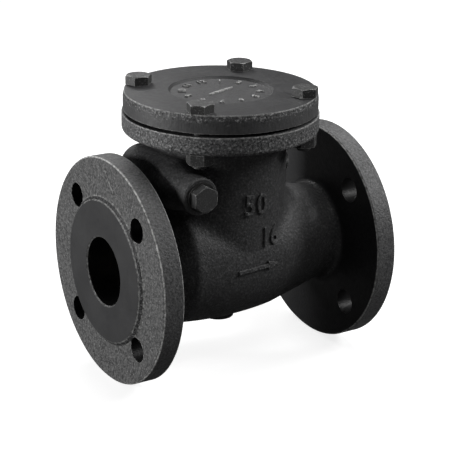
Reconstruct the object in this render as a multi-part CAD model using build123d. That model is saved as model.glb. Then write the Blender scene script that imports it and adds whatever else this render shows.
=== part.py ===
"""Flanged swing check valve, DN 50 and PN 16: cast iron body, bolted cover, hinged flap.

Millimetres. The origin is the centre of the inlet flange's sealing face. +X runs along the flow,
+Z points up through the cover and -Y towards the side of the hinge plug.
"""
import os
from math import cos, radians, sin, sqrt, tan

from build123d import *

# Pipe connection
FACE_TO_FACE = 200.0
BORE_D = 50.0
BORE_CHAMFER = 1.0
FLANGE_D = 165.0
FLANGE_THICK = 19.0
FLANGE_EDGE = 1.2
SEALING_FACE_HOLE_GAP = 2.5
SEALING_FACE_HIGH = 3.0
SEALING_FACE_BEVEL = 4.0
FLANGE_BOLT_EDGE = 20.0
FLANGE_HOLE_D = 18.0
OUTLET_HOLE_D = 18.5
FLANGE_HOLE_COUNT = 4

# Body casting
WALL = 7.0
DISC_ROOM = 11.6
BARREL_CROWN = 2.4
BARREL_LEN = 74.0
SHOULDER_LEN = 12.0
TAPER_LEN = 45.0
HUB_WALL = 11.5
NECK_STEP = 1.6
NECK_X = 96.5
PAD_D = 23.0
PAD_PROUD = 3.0

# Casting rounds
FLANGE_ROOT_ROUND = 5.0
SHOULDER_ROUND = 7.0
TAPER_ROUND = 25.0
NECK_BLEND = 14.0
NECK_ROOT_ROUND = 2.5
HUMP_BLEND = 5.0
HUMP_ROUND = 8.0
FAR_HUMP_ROUND = 12.0
FAR_END_ROUND = 10.0
RIM_ROUND = 3.0
CORE_ROUND = 6.0
PAD_ROUND = 1.5

# Cover joint
BONNET_ABOVE_HUMP = 9.2
BONNET_BOLT_EDGE = 10.0
BONNET_THICK = 13.4
GASKET_THICK = 2.4
GASKET_BOLT_GAP = 1.5
COVER_STEP = 1.0
COVER_THICK = 13.0
COVER_BAND = 4.0
COVER_BAND_SLOPE = 0.8
COVER_RECESS_D = 75.4
COVER_RECESS_DEEP = 1.8
SPIGOT_HIGH = 4.0
SPIGOT_WALL = 8.0
COVER_DISH = 3.0
STOP_D = 16.0

# Cover fasteners, M10
COVER_BOLT_ROOM = 13.0
COVER_BOLT_COUNT = 4
COVER_BOLT_D = 10.0
COVER_BOLT_LEN = 40.0
COVER_BOLT_AF = 17.0
COVER_BOLT_HEAD = 6.4
COVER_NUT_HIGH = 8.0
COVER_HOLE_D = 11.0

# Seat
SEAT_FACE_X = 54.0
SEAT_PROUD = 2.0
SEAT_RING_WALL = 4.0
SEAT_RING_LEN = 8.0
SEAT_BORE_STEP = 1.0
SEAT_LAND = 3.0
SEAT_RELIEF = 1.0

# Hinge housing
PIN_X = 46.0
PIN_ABOVE_BARREL = 15.4
ARM_HUB_ROOM = 3.0
HUMP_NEAR_Y = 28.0
HUMP_FAR_Y = 18.0
HUMP_WALL = 5.5
BOSS_R = 13.3
BOSS_LEN = 13.0
BOSS_FACE_Y = 57.0
BOSS_EDGE = 0.8
FAR_END_R = 14.5
FAR_END_WALL = 5.5
POCKET_HALF_W = 18.0
MOUTH_FLARE_DEG = 15.0
MOUTH_SIDE_GAP = 2.0

# Hinge pin, bushes and plug
PIN_D = 10.0
PIN_EDGE = 0.8
BUSH_D = 12.0
BUSH_LEN = 12.0
PLUG_D = 14.0
PLUG_LEN = 24.0
PLUG_AF = 17.0
PLUG_HEAD = 6.5
PLUG_WASHER_D = 21.0
PLUG_WASHER_THICK = 1.5

# Flap arm
FLAP_OPEN_DEG = 60.0
ARM_HUB_R = 9.5
ARM_HUB_HALF_W = 13.0
ARM_THICK = 9.0
ARM_SLOPE_DEG = 35.0
ARM_KNEE_RUN = 30.0
ARM_KNEE_ROUND = 14.0
ARM_FOOT_HALF_W = 9.0
ARM_RIB_W = 6.0
ARM_BOSS_R = 13.0
ARM_BOSS_LEN = 11.0
SPACER_D = 15.0
CROSS_PIN_D = 4.0

# Disc with its facing, and what holds it
DISC_OVERLAP = 1.0
DISC_THICK = 8.0
DISC_BACK_ROUND = 2.5
DISC_HUB_R = 15.0
DISC_HUB_HIGH = 2.0
LIP_SINK = 1.0
FACING_SHORT = 0.5
FACING_THICK = 4.0
RETAINER_GAP = 6.0
RETAINER_SINK = 0.5
RETAINER_LAP = 2.0
RETAINER_LAP_THICK = 1.2
STUD_D = 12.0
STUD_HEAD_D = 18.0
STUD_HEAD_HIGH = 4.0
STUD_END = 3.0
STUD_EDGE = 1.0
DISC_WASHER_D = 24.0
DISC_WASHER_THICK = 2.5
DISC_NUT_AF = 18.0
DISC_NUT_HIGH = 8.0
DISC_NUT_SLOT = 3.5
DISC_NUT_SLOT_DEEP = 3.0
SPLIT_PIN_D = 2.5
SPLIT_PIN_OVERHANG = 1.5
SPLIT_PIN_EYE_R = 1.5

# Fits, each a gap on the radius or between two faces
RUNNING_GAP = 0.05
SEATED_GAP = 0.02
END_PLAY = 0.3
SPIGOT_GAP = 0.3
FACING_GAP = 0.2
STOP_GAP = 0.3

# Sizes worked out from the sizes above
BORE_R = BORE_D / 2
HUB_R = BORE_R + HUB_WALL
FLANGE_BOLT_CIRCLE_D = FLANGE_D - 2 * FLANGE_BOLT_EDGE
SEALING_FACE_D = FLANGE_BOLT_CIRCLE_D - FLANGE_HOLE_D - 2 * SEALING_FACE_HOLE_GAP
SEAT_BORE_R = BORE_R + SEAT_BORE_STEP
SEAT_RING_R = SEAT_BORE_R + SEAT_RING_WALL
DISC_R = SEAT_RING_R + DISC_OVERLAP
FACING_R = SEAT_RING_R - FACING_SHORT
RETAINER_R = SEAT_BORE_R - RETAINER_GAP
CHAMBER_R = DISC_R + DISC_ROOM
BARREL_R = CHAMBER_R + WALL
BARREL_END_R = BARREL_R - BARREL_CROWN
NECK_BORE_R = CHAMBER_R - NECK_STEP
NECK_R = NECK_BORE_R + WALL
POCKET_R = ARM_HUB_R + ARM_HUB_ROOM
HUMP_R = POCKET_R + HUMP_WALL
COVER_BOLT_CIRCLE_D = 2 * (NECK_R + COVER_BOLT_ROOM)
BONNET_D = COVER_BOLT_CIRCLE_D + 2 * BONNET_BOLT_EDGE
COVER_D = BONNET_D - 2 * COVER_STEP
GASKET_D = COVER_BOLT_CIRCLE_D - COVER_HOLE_D - 2 * GASKET_BOLT_GAP
SPIGOT_R = NECK_BORE_R - SPIGOT_GAP

# Places worked out from the sizes above
BULKHEAD_X = SEAT_FACE_X - SEAT_PROUD
SEAT_POCKET_X = SEAT_FACE_X - SEAT_RING_LEN
BARREL_END_X = BULKHEAD_X + BARREL_LEN
TAPER_END_X = BARREL_END_X + TAPER_LEN
PIN_Z = BARREL_R + PIN_ABOVE_BARREL
PIN_HALF_LEN = POCKET_HALF_W + BUSH_LEN
PIN_BORE_END_Y = PIN_HALF_LEN + END_PLAY
BONNET_BASE_Z = PIN_Z + HUMP_R + BONNET_ABOVE_HUMP
BONNET_TOP_Z = BONNET_BASE_Z + BONNET_THICK
COVER_BASE_Z = BONNET_TOP_Z + GASKET_THICK
COVER_TOP_Z = COVER_BASE_Z + COVER_THICK
DISC_FRONT_X = SEAT_FACE_X + FACING_THICK
DISC_BACK_X = DISC_FRONT_X + DISC_THICK
DISC_HUB_X = DISC_BACK_X + DISC_HUB_HIGH
RETAINER_X = SEAT_FACE_X + RETAINER_SINK
RETAINER_STEP_X = RETAINER_X + RETAINER_LAP_THICK
ARM_BOSS_X = DISC_HUB_X + END_PLAY
ARM_BOSS_END_X = ARM_BOSS_X + ARM_BOSS_LEN
DISC_WASHER_X = ARM_BOSS_END_X + END_PLAY
DISC_NUT_X = DISC_WASHER_X + DISC_WASHER_THICK
DISC_NUT_END_X = DISC_NUT_X + DISC_NUT_HIGH
SPLIT_PIN_X = DISC_NUT_END_X - DISC_NUT_SLOT_DEEP / 2
STUD_END_X = DISC_NUT_END_X + STUD_END
CUT_PAST = 1.0

TURNING = {"x": (Plane.XZ, Axis.X), "y": (Plane.XY, Axis.Y), "z": (Plane.XZ, Axis.Z)}


def outline(corners, rounds=None):
    """Flat face through the corners; rounds gives some corners, by their number, a radius."""
    face = make_face(Polyline(*corners, close=True))
    for number, radius in (rounds or {}).items():
        corner = face.vertices().sort_by_distance((*corners[number], 0))[0]
        face = fillet(corner, radius)
    return face


def turned(axis, profile, rounds=None):
    """Solid turned about an axis from corners given as (distance along it, radius)."""
    plane, line = TURNING[axis]
    corners = profile if axis == "x" else [(radius, along) for along, radius in profile]
    return revolve(plane * outline(corners, rounds), line)


def ring(axis, start, end, outer_r, inner_r=0.0):
    """Plain ring, or disc where it has no inner radius, between two places on an axis."""
    return turned(axis, [(start, inner_r), (start, outer_r), (end, outer_r), (end, inner_r)])


def at_hinge(shape):
    """Move a shape made about the Y axis onto the hinge pin's axis."""
    return Pos(PIN_X, 0, PIN_Z) * shape


def on_circle(count, circle_d):
    """Places on a circle in the XY plane, the first half a step round from +X."""
    return PolarLocations(circle_d / 2, count, start_angle=180 / count)


def hex_blank(across_flats, height):
    """Upright hexagon on Z = 0, flats across X, its top corners turned to a shallow chamfer."""
    corner_r = across_flats / sqrt(3)
    flat_r = across_flats / 2
    drop = (corner_r - flat_r) * sin(radians(30))
    prism = extrude(RegularPolygon(flat_r, 6, major_radius=False, rotation=30), height)
    return prism & turned("z", [
        (0, 0), (0, corner_r), (height - drop, corner_r), (height, flat_r), (height, 0),
    ])


def pipe_flange():
    """Inlet flange: bevelled sealing face at X = 0, bolt holes not yet drilled."""
    rim_r = FLANGE_D / 2
    face_r = SEALING_FACE_D / 2
    return turned("x", [
        (0, 0),
        (0, face_r),
        (SEALING_FACE_HIGH, face_r + SEALING_FACE_BEVEL),
        (SEALING_FACE_HIGH, rim_r - FLANGE_EDGE),
        (SEALING_FACE_HIGH + FLANGE_EDGE, rim_r),
        (FLANGE_THICK - FLANGE_EDGE, rim_r),
        (FLANGE_THICK, rim_r - FLANGE_EDGE),
        (FLANGE_THICK, 0),
    ])


def barrel():
    """Crowned round belly with a short shoulder to the inlet hub and a long taper to the outlet hub."""
    start = (FLANGE_THICK / 2, 0)
    start_hub = (FLANGE_THICK / 2, HUB_R)
    shoulder = (BULKHEAD_X - SHOULDER_LEN, HUB_R)
    crown_start = (BULKHEAD_X, BARREL_END_R)
    crown_top = (BULKHEAD_X + BARREL_LEN / 2, BARREL_R)
    crown_end = (BARREL_END_X, BARREL_END_R)
    taper_end = (TAPER_END_X, HUB_R)
    end_hub = (FACE_TO_FACE - FLANGE_THICK / 2, HUB_R)
    end = (FACE_TO_FACE - FLANGE_THICK / 2, 0)
    lines = [
        Polyline(start, start_hub, shoulder, crown_start),
        ThreePointArc(crown_start, crown_top, crown_end),
        Polyline(crown_end, taper_end, end_hub, end, start),
    ]
    face = make_face(lines)
    rounds = {
        shoulder: SHOULDER_ROUND, crown_start: SHOULDER_ROUND,
        crown_end: TAPER_ROUND, taper_end: TAPER_ROUND,
    }
    for corner, radius in rounds.items():
        face = fillet(face.vertices().sort_by_distance((*corner, 0))[0], radius)
    return revolve(Plane.XZ * face, Axis.X)


def hinge_hump():
    """Housing round the hinge pin: wide in the middle, a faced boss at -Y and a blind end at +Y."""
    end_y = PIN_BORE_END_Y + FAR_END_WALL
    return at_hinge(turned("y", [
        (-BOSS_FACE_Y, 0),
        (-BOSS_FACE_Y, BOSS_R - BOSS_EDGE),
        (BOSS_EDGE - BOSS_FACE_Y, BOSS_R),
        (BOSS_LEN - BOSS_FACE_Y, BOSS_R),
        (-HUMP_NEAR_Y, HUMP_R),
        (HUMP_FAR_Y, HUMP_R),
        (end_y, FAR_END_R),
        (end_y, 0),
    ], {3: HUMP_ROUND, 4: HUMP_ROUND, 5: FAR_HUMP_ROUND, 6: FAR_END_ROUND}))


def bonnet_flange():
    """Round flange on the neck, its lower rim rounded as cast."""
    return Pos(NECK_X, 0, 0) * turned("z", [
        (BONNET_BASE_Z, 0), (BONNET_BASE_Z, BONNET_D / 2), (BONNET_TOP_Z, BONNET_D / 2), (BONNET_TOP_Z, 0),
    ], {1: RIM_ROUND})


def blended(first, second, radius):
    """Join two solids and round the edge where they meet."""
    joined = first + second
    return joined.fillet(radius, new_edges(first, second, combined=joined))


def body_outside():
    """The body casting before any of its hollows are cut."""
    neck = Pos(NECK_X, 0, 0) * ring("z", 0, BONNET_BASE_Z + CUT_PAST, NECK_R)
    trunk = barrel() + neck
    creases = trunk.edges().filter_by(GeomType.BSPLINE)
    trunk = trunk.fillet(NECK_BLEND, creases)
    trunk = blended(trunk, hinge_hump(), HUMP_BLEND)
    pad = Pos(NECK_X, 0, 0) * ring("z", -BARREL_R - PAD_PROUD, -BARREL_R + PAD_PROUD, PAD_D / 2)
    trunk = blended(trunk, pad, PAD_ROUND)
    trunk = blended(trunk, bonnet_flange(), NECK_ROOT_ROUND)
    trunk = blended(trunk, pipe_flange(), FLANGE_ROOT_ROUND)
    return blended(trunk, pipe_flange().mirror(Plane.YZ.offset(FACE_TO_FACE / 2)), FLANGE_ROOT_ROUND)


def waterway():
    """Everything the water fills along the pipe axis, with the pocket for the seat ring."""
    mouth_r = BORE_R + BORE_CHAMFER + CUT_PAST
    return turned("x", [
        (-CUT_PAST, 0),
        (-CUT_PAST, mouth_r),
        (BORE_CHAMFER, BORE_R),
        (SEAT_POCKET_X, BORE_R),
        (SEAT_POCKET_X, SEAT_RING_R),
        (BULKHEAD_X, SEAT_RING_R),
        (BULKHEAD_X, CHAMBER_R),
        (BARREL_END_X, CHAMBER_R),
        (TAPER_END_X, BORE_R),
        (FACE_TO_FACE - BORE_CHAMFER, BORE_R),
        (FACE_TO_FACE + CUT_PAST, mouth_r),
        (FACE_TO_FACE + CUT_PAST, 0),
    ], {6: CORE_ROUND, 7: TAPER_ROUND, 8: TAPER_ROUND})


def hinge_hollow():
    """Pocket for the arm's hub, open to the chamber, and the bores for bushes, pin and plug."""
    pocket = ring("y", -POCKET_HALF_W, POCKET_HALF_W, POCKET_R)
    reach = NECK_X - PIN_X
    mouth_high = POCKET_R + reach * tan(radians(MOUTH_FLARE_DEG))
    mouth_side = outline([(0, -POCKET_R), (reach, -mouth_high), (reach, mouth_high), (0, POCKET_R)])
    mouth = extrude(Plane.XZ * mouth_side, ARM_HUB_HALF_W + MOUTH_SIDE_GAP, both=True)
    pin_bore = ring("y", -BOSS_FACE_Y, PIN_BORE_END_Y, BUSH_D / 2)
    plug_bore = ring("y", -BOSS_FACE_Y - CUT_PAST, PLUG_LEN - BOSS_FACE_Y, PLUG_D / 2)
    return at_hinge(pocket + mouth + pin_bore + plug_bore)


def valve_body():
    """The whole body casting with its hollows, bores and bolt holes."""
    neck_bore = Pos(NECK_X, 0, 0) * ring("z", 0, BONNET_TOP_Z + CUT_PAST, NECK_BORE_R)
    return body_outside() - waterway() - neck_bore - hinge_hollow() - flange_holes() - cover_holes()


def flange_holes():
    """Bolt holes through both pipe flanges, astride the upright centre line."""
    drilled = FLANGE_THICK + 2 * CUT_PAST
    sets = {FLANGE_THICK / 2: FLANGE_HOLE_D, FACE_TO_FACE - FLANGE_THICK / 2: OUTLET_HOLE_D}
    return [
        Pos(middle, 0, 0) * Rot(0, 90, 0) * place * Cylinder(hole_d / 2, drilled)
        for middle, hole_d in sets.items()
        for place in on_circle(FLANGE_HOLE_COUNT, FLANGE_BOLT_CIRCLE_D)
    ]


def cover_holes():
    """Clearance holes for the cover bolts, through cover and bonnet flange alike."""
    low = BONNET_BASE_Z - CUT_PAST
    high = COVER_TOP_Z + CUT_PAST
    return [
        Pos(NECK_X, 0, 0) * place * ring("z", low, high, COVER_HOLE_D / 2)
        for place in on_circle(COVER_BOLT_COUNT, COVER_BOLT_CIRCLE_D)
    ]


def stop_place():
    """X of the open flap's stud end and the height that it reaches."""
    turn = radians(FLAP_OPEN_DEG)
    ahead = STUD_END_X - PIN_X
    top_x = PIN_X + ahead * cos(turn) + PIN_Z * sin(turn)
    top_z = PIN_Z + ahead * sin(turn) - PIN_Z * cos(turn)
    return top_x, top_z + STUD_D / 2 * cos(turn)


def cover():
    """Round lid: cast band round a faced rim, shallow recess on top, spigot and flap stop below."""
    rim_r = COVER_D / 2
    recess_r = COVER_RECESS_D / 2
    dish_z = COVER_BASE_Z + COVER_DISH
    lid = turned("z", [
        (dish_z, 0),
        (dish_z, SPIGOT_R - SPIGOT_WALL),
        (COVER_BASE_Z - SPIGOT_HIGH, SPIGOT_R - SPIGOT_WALL),
        (COVER_BASE_Z - SPIGOT_HIGH, SPIGOT_R),
        (COVER_BASE_Z, SPIGOT_R),
        (COVER_BASE_Z, rim_r),
        (COVER_TOP_Z - COVER_BAND, rim_r),
        (COVER_TOP_Z, rim_r - COVER_BAND_SLOPE),
        (COVER_TOP_Z, recess_r),
        (COVER_TOP_Z - COVER_RECESS_DEEP, recess_r - COVER_RECESS_DEEP),
        (COVER_TOP_Z - COVER_RECESS_DEEP, 0),
    ])
    stop_x, stop_z = stop_place()
    stop = Pos(stop_x - NECK_X, 0, 0) * ring("z", stop_z + STOP_GAP, dish_z + CUT_PAST, STOP_D / 2)
    return Pos(NECK_X, 0, 0) * (lid + stop) - cover_holes()


def cover_gasket():
    """Flat ring inside the bolt circle."""
    return Pos(NECK_X, 0, 0) * ring("z", BONNET_TOP_Z, COVER_BASE_Z, GASKET_D / 2, NECK_BORE_R)


def cover_bolt():
    """Hexagon bolt, its head's seat on Z = 0 and its shank below."""
    shank_r = COVER_BOLT_D / 2
    shank = turned("z", [
        (0, 0), (0, shank_r), (PIN_EDGE - COVER_BOLT_LEN, shank_r),
        (-COVER_BOLT_LEN, shank_r - PIN_EDGE), (-COVER_BOLT_LEN, 0),
    ])
    return hex_blank(COVER_BOLT_AF, COVER_BOLT_HEAD) + shank


def cover_nut():
    """Hexagon nut, its seat on Z = 0 and its body below."""
    blank = Rot(180, 0, 0) * hex_blank(COVER_BOLT_AF, COVER_NUT_HIGH)
    return blank - ring("z", -COVER_NUT_HIGH, 0, COVER_BOLT_D / 2 + RUNNING_GAP)


def set_round_cover(piece, seat_z):
    """Copies of a fastener at the cover's bolt holes, seated at one height."""
    return Compound([
        Pos(NECK_X, 0, seat_z) * place * piece for place in on_circle(COVER_BOLT_COUNT, COVER_BOLT_CIRCLE_D)
    ])


def seat_ring():
    """Bronze ring pressed into the bulkhead, its land standing proud of it."""
    outer_r = SEAT_RING_R - SEATED_GAP
    land_r = SEAT_BORE_R + SEAT_LAND
    return turned("x", [
        (SEAT_POCKET_X, SEAT_BORE_R), (SEAT_FACE_X, SEAT_BORE_R), (SEAT_FACE_X, land_r),
        (SEAT_FACE_X - SEAT_RELIEF, outer_r), (SEAT_POCKET_X, outer_r),
    ])


def hinge_pin():
    """Round pin across the housing, cross-drilled in the middle for the arm's pin."""
    pin_r = PIN_D / 2
    pin = turned("y", [
        (-PIN_HALF_LEN, 0), (-PIN_HALF_LEN, pin_r - PIN_EDGE), (PIN_EDGE - PIN_HALF_LEN, pin_r),
        (PIN_HALF_LEN - PIN_EDGE, pin_r), (PIN_HALF_LEN, pin_r - PIN_EDGE), (PIN_HALF_LEN, 0),
    ])
    return at_hinge(pin - cross_pin_rod(SEATED_GAP))


def cross_pin_rod(gap=0.0):
    """Rod across the hinge axis, square to the arm's root, with a gap on its radius."""
    return Rot(0, ARM_SLOPE_DEG, 0) * ring("z", -ARM_HUB_R, ARM_HUB_R, CROSS_PIN_D / 2 + gap)


def hinge_bush(side):
    """Bush beside the pocket, pressed into the housing; side is -1 near or 1 far."""
    start = side * POCKET_HALF_W
    end = side * (POCKET_HALF_W + BUSH_LEN)
    return at_hinge(ring("y", start, end, BUSH_D / 2 - SEATED_GAP, PIN_D / 2 + RUNNING_GAP))


def arm_spacer(side):
    """Tube on the pin that keeps the arm in the middle of the pocket."""
    start = side * ARM_HUB_HALF_W
    end = side * (POCKET_HALF_W - END_PLAY)
    return at_hinge(ring("y", start, end, SPACER_D / 2, PIN_D / 2 + RUNNING_GAP))


def hinge_plug():
    """Hexagon plug that closes the pin's bore."""
    seat = BOSS_FACE_Y + PLUG_WASHER_THICK
    head = Rot(90, 0, 0) * Pos(0, 0, seat) * hex_blank(PLUG_AF, PLUG_HEAD)
    return at_hinge(head + ring("y", -seat, PLUG_LEN - BOSS_FACE_Y, PLUG_D / 2 - SEATED_GAP))


def plug_washer():
    """Sealing ring under the plug's head."""
    end = -BOSS_FACE_Y - PLUG_WASHER_THICK
    return at_hinge(ring("y", end, -BOSS_FACE_Y, PLUG_WASHER_D / 2, PLUG_D / 2))


def arm_bar(width, thick, lift):
    """Bar of one rectangular section from the hub over the knee to the disc boss."""
    slope = radians(ARM_SLOPE_DEG)
    root = (PIN_X, 0, PIN_Z)
    knee = (PIN_X + ARM_KNEE_RUN * cos(slope), 0, PIN_Z - ARM_KNEE_RUN * sin(slope))
    foot = ((ARM_BOSS_X + ARM_BOSS_END_X) / 2, 0, 0)
    path = FilletPolyline(root, knee, foot, radius=ARM_KNEE_ROUND)
    section = Plane(origin=root, x_dir=(0, 1, 0), z_dir=path % 0)
    return sweep(section * Pos(0, lift, 0) * Rectangle(width, thick), path=path)


def hinge_arm():
    """Cast arm: hub on the pin, bar tapering to the foot with a rib on its back, boss for the disc stud."""
    hub = at_hinge(ring("y", -ARM_HUB_HALF_W, ARM_HUB_HALF_W, ARM_HUB_R))
    boss = ring("x", ARM_BOSS_X, ARM_BOSS_END_X, ARM_BOSS_R)
    front = Plane.YZ * outline([
        (-ARM_HUB_HALF_W, PIN_Z + ARM_HUB_R), (ARM_HUB_HALF_W, PIN_Z + ARM_HUB_R),
        (ARM_FOOT_HALF_W, 0), (-ARM_FOOT_HALF_W, 0),
    ])
    bar = arm_bar(2 * ARM_HUB_HALF_W, ARM_THICK, 0) & extrude(front, FACE_TO_FACE)
    rib = arm_bar(ARM_RIB_W, ARM_BOSS_LEN / 2, ARM_BOSS_LEN / 4)
    pin_hole = at_hinge(ring("y", -ARM_HUB_HALF_W, ARM_HUB_HALF_W, PIN_D / 2 + SEATED_GAP))
    stud_hole = ring("x", 0, FACE_TO_FACE, STUD_D / 2 + RUNNING_GAP)
    return hub + boss + bar + rib - pin_hole - stud_hole - at_hinge(cross_pin_rod(SEATED_GAP))


def disc():
    """Flap disc: groove for the facing in front, low hub behind."""
    hole_r = STUD_D / 2 + SEATED_GAP
    return turned("x", [
        (DISC_FRONT_X, hole_r),
        (DISC_FRONT_X, FACING_R),
        (SEAT_FACE_X + LIP_SINK, FACING_R),
        (SEAT_FACE_X + LIP_SINK, DISC_R),
        (DISC_BACK_X, DISC_R),
        (DISC_BACK_X, DISC_HUB_R),
        (DISC_HUB_X, DISC_HUB_R),
        (DISC_HUB_X, hole_r),
    ], {4: DISC_BACK_ROUND})


def facing_retainer():
    """Stepped plate whose lip laps over the facing."""
    hole_r = STUD_D / 2 + SEATED_GAP
    lap_r = RETAINER_R + RETAINER_LAP
    return turned("x", [
        (RETAINER_X, hole_r), (RETAINER_X, lap_r), (RETAINER_STEP_X, lap_r),
        (RETAINER_STEP_X, RETAINER_R), (DISC_FRONT_X, RETAINER_R), (DISC_FRONT_X, hole_r),
    ])


def disc_facing():
    """Rubber ring that meets the seat, stepped to lie under the retainer's lip."""
    hole_r = RETAINER_R + FACING_GAP
    lap_r = hole_r + RETAINER_LAP
    return turned("x", [
        (RETAINER_STEP_X, hole_r), (RETAINER_STEP_X, lap_r), (SEAT_FACE_X, lap_r),
        (SEAT_FACE_X, FACING_R), (DISC_FRONT_X, FACING_R), (DISC_FRONT_X, hole_r),
    ])


def disc_stud():
    """Stud through retainer, disc and arm, cross-drilled for the split pin."""
    stud_r = STUD_D / 2
    head_x = RETAINER_X - STUD_HEAD_HIGH
    stud = turned("x", [
        (head_x, 0),
        (head_x, STUD_HEAD_D / 2 - STUD_EDGE),
        (head_x + STUD_EDGE, STUD_HEAD_D / 2),
        (RETAINER_X, STUD_HEAD_D / 2),
        (RETAINER_X, stud_r),
        (STUD_END_X - STUD_EDGE, stud_r),
        (STUD_END_X, stud_r - STUD_EDGE),
        (STUD_END_X, 0),
    ])
    return stud - Pos(SPLIT_PIN_X, 0, 0) * ring("z", -STUD_D, STUD_D, SPLIT_PIN_D / 2 + RUNNING_GAP)


def disc_washer():
    """Washer between arm boss and nut."""
    return ring("x", DISC_WASHER_X, DISC_NUT_X, DISC_WASHER_D / 2, STUD_D / 2 + RUNNING_GAP)


def disc_nut():
    """Slotted nut on the stud, a slot across each pair of flats."""
    blank = Pos(DISC_NUT_X, 0, 0) * Rot(0, 90, 0) * hex_blank(DISC_NUT_AF, DISC_NUT_HIGH)
    slot = Box(DISC_NUT_SLOT_DEEP + CUT_PAST, DISC_NUT_SLOT, 2 * DISC_NUT_AF)
    slot_x = DISC_NUT_END_X - (DISC_NUT_SLOT_DEEP - CUT_PAST) / 2
    slots = [Pos(slot_x, 0, 0) * Rot(turn, 0, 0) * slot for turn in (0, 60, 120)]
    return blank - slots - ring("x", DISC_NUT_X, DISC_NUT_END_X, STUD_D / 2 + RUNNING_GAP)


def disc_split_pin():
    """Pin through nut slot and stud, with an eye at its upper end."""
    reach = DISC_NUT_AF / 2 + SPLIT_PIN_OVERHANG
    rod = ring("z", -reach, reach, SPLIT_PIN_D / 2)
    eye = Pos(0, 0, reach + SPLIT_PIN_EYE_R) * Rot(90, 0, 0) * Torus(SPLIT_PIN_EYE_R, SPLIT_PIN_D / 4)
    return Pos(SPLIT_PIN_X, 0, 0) * (rod + eye)


NODES = {
    "valve_body": valve_body(),
    "seat_ring": seat_ring(),
    "cover": cover(),
    "cover_gasket": cover_gasket(),
    "cover_bolts": set_round_cover(cover_bolt(), COVER_TOP_Z),
    "cover_nuts": set_round_cover(cover_nut(), BONNET_BASE_Z),
    "hinge_pin": hinge_pin(),
    "pin_bush_near": hinge_bush(-1),
    "pin_bush_far": hinge_bush(1),
    "hinge_plug": hinge_plug(),
    "plug_washer": plug_washer(),
    "hinge_arm": hinge_arm(),
    "arm_cross_pin": at_hinge(cross_pin_rod()),
    "arm_spacer_near": arm_spacer(-1),
    "arm_spacer_far": arm_spacer(1),
    "disc": disc(),
    "disc_facing": disc_facing(),
    "facing_retainer": facing_retainer(),
    "disc_stud": disc_stud(),
    "disc_washer": disc_washer(),
    "disc_nut": disc_nut(),
    "disc_split_pin": disc_split_pin(),
}

os.makedirs("parts", exist_ok=True)
for node, shape in NODES.items():
    export_step(shape, f"parts/{node}.step")
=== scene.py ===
"""Looks of the flanged swing check valve: iron finishes, raised numbers, bolt threads, floor and lights.

Metres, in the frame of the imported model: the origin is the centre of the inlet's sealing face, +X runs
along the flow, +Z points up through the cover and -Y towards the hinge plug.
"""
from __future__ import annotations

import logging
import math
from dataclasses import dataclass, field
from enum import Enum

import bpy
from mathutils import Matrix, Vector


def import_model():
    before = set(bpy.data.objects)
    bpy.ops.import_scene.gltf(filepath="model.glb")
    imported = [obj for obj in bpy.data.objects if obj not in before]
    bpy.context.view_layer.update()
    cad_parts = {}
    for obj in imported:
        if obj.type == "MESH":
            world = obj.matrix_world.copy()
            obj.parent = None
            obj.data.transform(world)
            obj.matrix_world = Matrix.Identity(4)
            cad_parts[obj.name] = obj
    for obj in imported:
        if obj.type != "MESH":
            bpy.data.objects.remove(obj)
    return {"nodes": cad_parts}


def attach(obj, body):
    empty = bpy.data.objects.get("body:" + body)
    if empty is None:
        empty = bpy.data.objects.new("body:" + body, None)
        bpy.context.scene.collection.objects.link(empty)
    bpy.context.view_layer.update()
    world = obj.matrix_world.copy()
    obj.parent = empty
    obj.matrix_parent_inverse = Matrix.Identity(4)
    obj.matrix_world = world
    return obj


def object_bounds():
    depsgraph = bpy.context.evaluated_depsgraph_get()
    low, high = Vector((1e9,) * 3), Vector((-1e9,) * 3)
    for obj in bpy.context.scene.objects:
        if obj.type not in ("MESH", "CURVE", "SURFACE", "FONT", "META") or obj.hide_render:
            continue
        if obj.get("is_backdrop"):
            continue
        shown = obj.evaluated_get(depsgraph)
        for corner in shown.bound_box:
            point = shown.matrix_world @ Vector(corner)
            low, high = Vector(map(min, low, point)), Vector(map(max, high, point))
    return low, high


log = logging.getLogger("swing_check_valve")

MM = 0.001
Colour = tuple[float, float, float, float]
Material = bpy.types.Material
Piece = bpy.types.Object
Socket = bpy.types.NodeSocket


class Body(Enum):
    """Body of the model that the added pieces ride on."""

    HOUSING = "housing"


class Axis(Enum):
    """Axes of the model, numbered as a point's coordinates."""

    X = 0
    Y = 1
    Z = 2


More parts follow.
